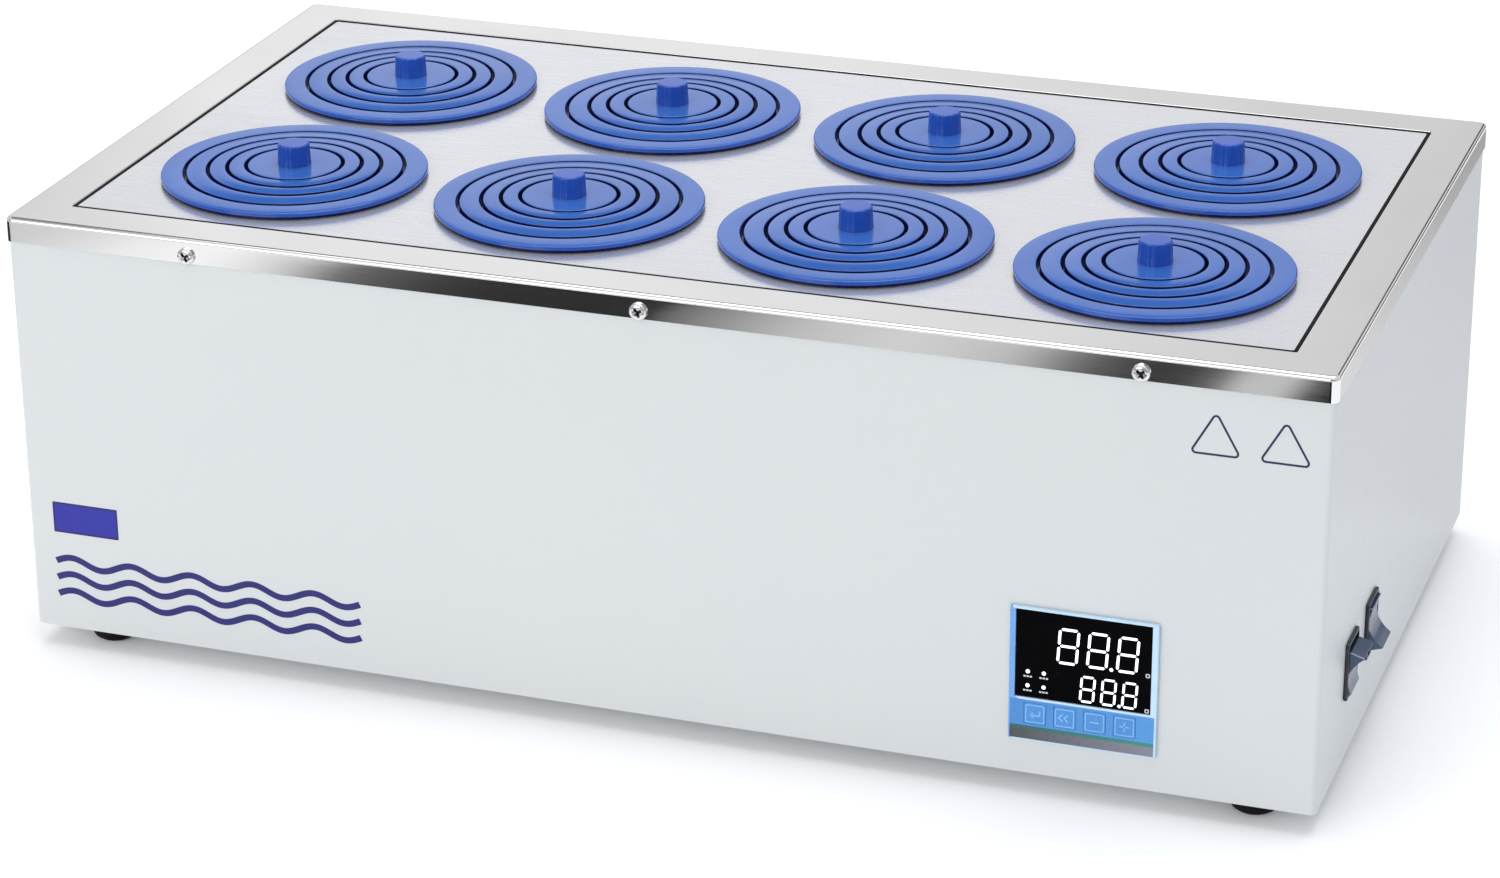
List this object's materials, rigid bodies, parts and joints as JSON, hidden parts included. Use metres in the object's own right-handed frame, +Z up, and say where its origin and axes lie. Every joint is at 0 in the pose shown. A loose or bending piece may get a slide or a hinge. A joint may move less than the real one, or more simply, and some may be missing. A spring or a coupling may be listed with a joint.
{
  "type": "laboratory water bath",
  "caption": "Bench-top laboratory water bath: steel casing, stainless tank and top, nested ring lids over round openings, digital temperature controller.",
  "frame": {"origin": "middle of the outline, drain valve and rockers included, at the level of the bench", "axes": "+Z up, -Y towards the control side, +X towards the switches on the right"},
  "size_m": [0.7086, 0.4402, 0.2618],
  "materials": {
    "casing_paint": "pale grey powder coat, fine texture",
    "polished_steel": "polished stainless steel",
    "satin_steel": "smooth satin stainless steel",
    "tank_steel": "satin stainless steel",
    "heater_steel": "polished stainless steel",
    "zinc_steel": "zinc plated",
    "screw_steel": "bright nickel plate",
    "lid_plastic": "glossy moulded blue",
    "foot_rubber": "matt black",
    "black_plastic": "moulded black",
    "rocker_plastic": "moulded slate grey",
    "relay_plastic": "moulded pale grey",
    "bezel_plastic": "pale blue film",
    "key_plastic": "printed blue film",
    "display_window": "dark acrylic with lit digits",
    "circuit_board": "green solder mask",
    "insulation_wool": "glass wool",
    "valve_brass": "nickel-plated brass",
    "handle_paint": "blue dipped lever",
    "heater_sleeve": "silicone sleeve",
    "probe_sleeve": "grey sleeve"
  },
  "bodies": {
    "casing": {"casing_wrap": "casing_paint", "rear_panel": "casing_paint", "base_plate": "zinc_steel", "top_frame": "polished_steel", "tank": "tank_steel", "tank_insulation": "insulation_wool", "heater": "heater_steel", "temperature_probe": "heater_steel", "drain_valve": "valve_brass", "controller_housing": "black_plastic", "controller_bezel": "bezel_plastic", "display_window": "display_window", "control_board": "circuit_board", "switch_housing_front": "black_plastic", "switch_housing_rear": "black_plastic", "power_inlet": "black_plastic", "power_board": "circuit_board", "heater_relay": "relay_plastic", "heater_lead": "heater_sleeve", "probe_lead": "probe_sleeve", "foot_front_left": "foot_rubber", "foot_front_right": "foot_rubber", "foot_rear_left": "foot_rubber", "foot_rear_right": "foot_rubber", "frame_screw_1": "screw_steel", "frame_screw_2": "screw_steel", "frame_screw_3": "screw_steel"},
    "cover": {"cover_plate": "satin_steel"},
    "outer_ring_1": {"lid_ring_outer_1": "lid_plastic"},
    "inner_rings_1": {"lid_rings_inner_1": "lid_plastic"},
    "cap_1": {"lid_cap_1": "lid_plastic"},
    "outer_ring_2": {"lid_ring_outer_2": "lid_plastic"},
    "inner_rings_2": {"lid_rings_inner_2": "lid_plastic"},
    "cap_2": {"lid_cap_2": "lid_plastic"},
    "outer_ring_3": {"lid_ring_outer_3": "lid_plastic"},
    "inner_rings_3": {"lid_rings_inner_3": "lid_plastic"},
    "cap_3": {"lid_cap_3": "lid_plastic"},
    "outer_ring_4": {"lid_ring_outer_4": "lid_plastic"},
    "inner_rings_4": {"lid_rings_inner_4": "lid_plastic"},
    "cap_4": {"lid_cap_4": "lid_plastic"},
    "outer_ring_5": {"lid_ring_outer_5": "lid_plastic"},
    "inner_rings_5": {"lid_rings_inner_5": "lid_plastic"},
    "cap_5": {"lid_cap_5": "lid_plastic"},
    "outer_ring_6": {"lid_ring_outer_6": "lid_plastic"},
    "inner_rings_6": {"lid_rings_inner_6": "lid_plastic"},
    "cap_6": {"lid_cap_6": "lid_plastic"},
    "outer_ring_7": {"lid_ring_outer_7": "lid_plastic"},
    "inner_rings_7": {"lid_rings_inner_7": "lid_plastic"},
    "cap_7": {"lid_cap_7": "lid_plastic"},
    "outer_ring_8": {"lid_ring_outer_8": "lid_plastic"},
    "inner_rings_8": {"lid_rings_inner_8": "lid_plastic"},
    "cap_8": {"lid_cap_8": "lid_plastic"},
    "rack": {"rack": "tank_steel"},
    "drain_handle": {"drain_handle": "handle_paint"},
    "key_1": {"key_1": "key_plastic"},
    "key_2": {"key_2": "key_plastic"},
    "key_3": {"key_3": "key_plastic"},
    "key_4": {"key_4": "key_plastic"},
    "rocker_front": {"rocker_front": "rocker_plastic"},
    "rocker_rear": {"rocker_rear": "rocker_plastic"}
  },
  "joints": [
    {"name": "cover_lift", "type": "slide", "parent": "casing", "child": "cover", "axis": [0, 0, 1], "range_m": [0, 0.08]},
    {"name": "outer_ring_1_lift", "type": "slide", "parent": "cover", "child": "outer_ring_1", "axis": [0, 0, 1], "range_m": [0, 0.05]},
    {"name": "inner_rings_1_lift", "type": "slide", "parent": "outer_ring_1", "child": "inner_rings_1", "axis": [0, 0, 1], "range_m": [0, 0.05]},
    {"name": "cap_1_lift", "type": "slide", "parent": "inner_rings_1", "child": "cap_1", "axis": [0, 0, 1], "range_m": [0, 0.05]},
    {"name": "outer_ring_2_lift", "type": "slide", "parent": "cover", "child": "outer_ring_2", "axis": [0, 0, 1], "range_m": [0, 0.05]},
    {"name": "inner_rings_2_lift", "type": "slide", "parent": "outer_ring_2", "child": "inner_rings_2", "axis": [0, 0, 1], "range_m": [0, 0.05]},
    {"name": "cap_2_lift", "type": "slide", "parent": "inner_rings_2", "child": "cap_2", "axis": [0, 0, 1], "range_m": [0, 0.05]},
    {"name": "outer_ring_3_lift", "type": "slide", "parent": "cover", "child": "outer_ring_3", "axis": [0, 0, 1], "range_m": [0, 0.05]},
    {"name": "inner_rings_3_lift", "type": "slide", "parent": "outer_ring_3", "child": "inner_rings_3", "axis": [0, 0, 1], "range_m": [0, 0.05]},
    {"name": "cap_3_lift", "type": "slide", "parent": "inner_rings_3", "child": "cap_3", "axis": [0, 0, 1], "range_m": [0, 0.05]},
    {"name": "outer_ring_4_lift", "type": "slide", "parent": "cover", "child": "outer_ring_4", "axis": [0, 0, 1], "range_m": [0, 0.05]},
    {"name": "inner_rings_4_lift", "type": "slide", "parent": "outer_ring_4", "child": "inner_rings_4", "axis": [0, 0, 1], "range_m": [0, 0.05]},
    {"name": "cap_4_lift", "type": "slide", "parent": "inner_rings_4", "child": "cap_4", "axis": [0, 0, 1], "range_m": [0, 0.05]},
    {"name": "outer_ring_5_lift", "type": "slide", "parent": "cover", "child": "outer_ring_5", "axis": [0, 0, 1], "range_m": [0, 0.05]},
    {"name": "inner_rings_5_lift", "type": "slide", "parent": "outer_ring_5", "child": "inner_rings_5", "axis": [0, 0, 1], "range_m": [0, 0.05]},
    {"name": "cap_5_lift", "type": "slide", "parent": "inner_rings_5", "child": "cap_5", "axis": [0, 0, 1], "range_m": [0, 0.05]},
    {"name": "outer_ring_6_lift", "type": "slide", "parent": "cover", "child": "outer_ring_6", "axis": [0, 0, 1], "range_m": [0, 0.05]},
    {"name": "inner_rings_6_lift", "type": "slide", "parent": "outer_ring_6", "child": "inner_rings_6", "axis": [0, 0, 1], "range_m": [0, 0.05]},
    {"name": "cap_6_lift", "type": "slide", "parent": "inner_rings_6", "child": "cap_6", "axis": [0, 0, 1], "range_m": [0, 0.05]},
    {"name": "outer_ring_7_lift", "type": "slide", "parent": "cover", "child": "outer_ring_7", "axis": [0, 0, 1], "range_m": [0, 0.05]},
    {"name": "inner_rings_7_lift", "type": "slide", "parent": "outer_ring_7", "child": "inner_rings_7", "axis": [0, 0, 1], "range_m": [0, 0.05]},
    {"name": "cap_7_lift", "type": "slide", "parent": "inner_rings_7", "child": "cap_7", "axis": [0, 0, 1], "range_m": [0, 0.05]},
    {"name": "outer_ring_8_lift", "type": "slide", "parent": "cover", "child": "outer_ring_8", "axis": [0, 0, 1], "range_m": [0, 0.05]},
    {"name": "inner_rings_8_lift", "type": "slide", "parent": "outer_ring_8", "child": "inner_rings_8", "axis": [0, 0, 1], "range_m": [0, 0.05]},
    {"name": "cap_8_lift", "type": "slide", "parent": "inner_rings_8", "child": "cap_8", "axis": [0, 0, 1], "range_m": [0, 0.05]},
    {"name": "rack_lift", "type": "slide", "parent": "casing", "child": "rack", "axis": [0, 0, 1], "range_m": [0, 0.055]},
    {"name": "drain_handle_turn", "type": "hinge", "parent": "casing", "child": "drain_handle", "pos_m": [-0.27234, 0.1911, 0.09], "axis": [0, 0, 1], "range_deg": [0, 90]},
    {"name": "key_1_press", "type": "slide", "parent": "casing", "child": "key_1", "axis": [0, 1, 0], "range_m": [0, 0.0005], "stiffness_N_per_m": 400, "springref_m": -0.0005},
    {"name": "key_2_press", "type": "slide", "parent": "casing", "child": "key_2", "axis": [0, 1, 0], "range_m": [0, 0.0005], "stiffness_N_per_m": 400, "springref_m": -0.0005},
    {"name": "key_3_press", "type": "slide", "parent": "casing", "child": "key_3", "axis": [0, 1, 0], "range_m": [0, 0.0005], "stiffness_N_per_m": 400, "springref_m": -0.0005},
    {"name": "key_4_press", "type": "slide", "parent": "casing", "child": "key_4", "axis": [0, 1, 0], "range_m": [0, 0.0005], "stiffness_N_per_m": 400, "springref_m": -0.0005},
    {"name": "rocker_front_swing", "type": "hinge", "parent": "casing", "child": "rocker_front", "pos_m": [0.34286, -0.1477, 0.0635], "axis": [0, 1, 0], "range_deg": [-32, 0]},
    {"name": "rocker_rear_swing", "type": "hinge", "parent": "casing", "child": "rocker_rear", "pos_m": [0.34286, -0.0991, 0.0635], "axis": [0, 1, 0], "range_deg": [0, 32]}
  ]
}
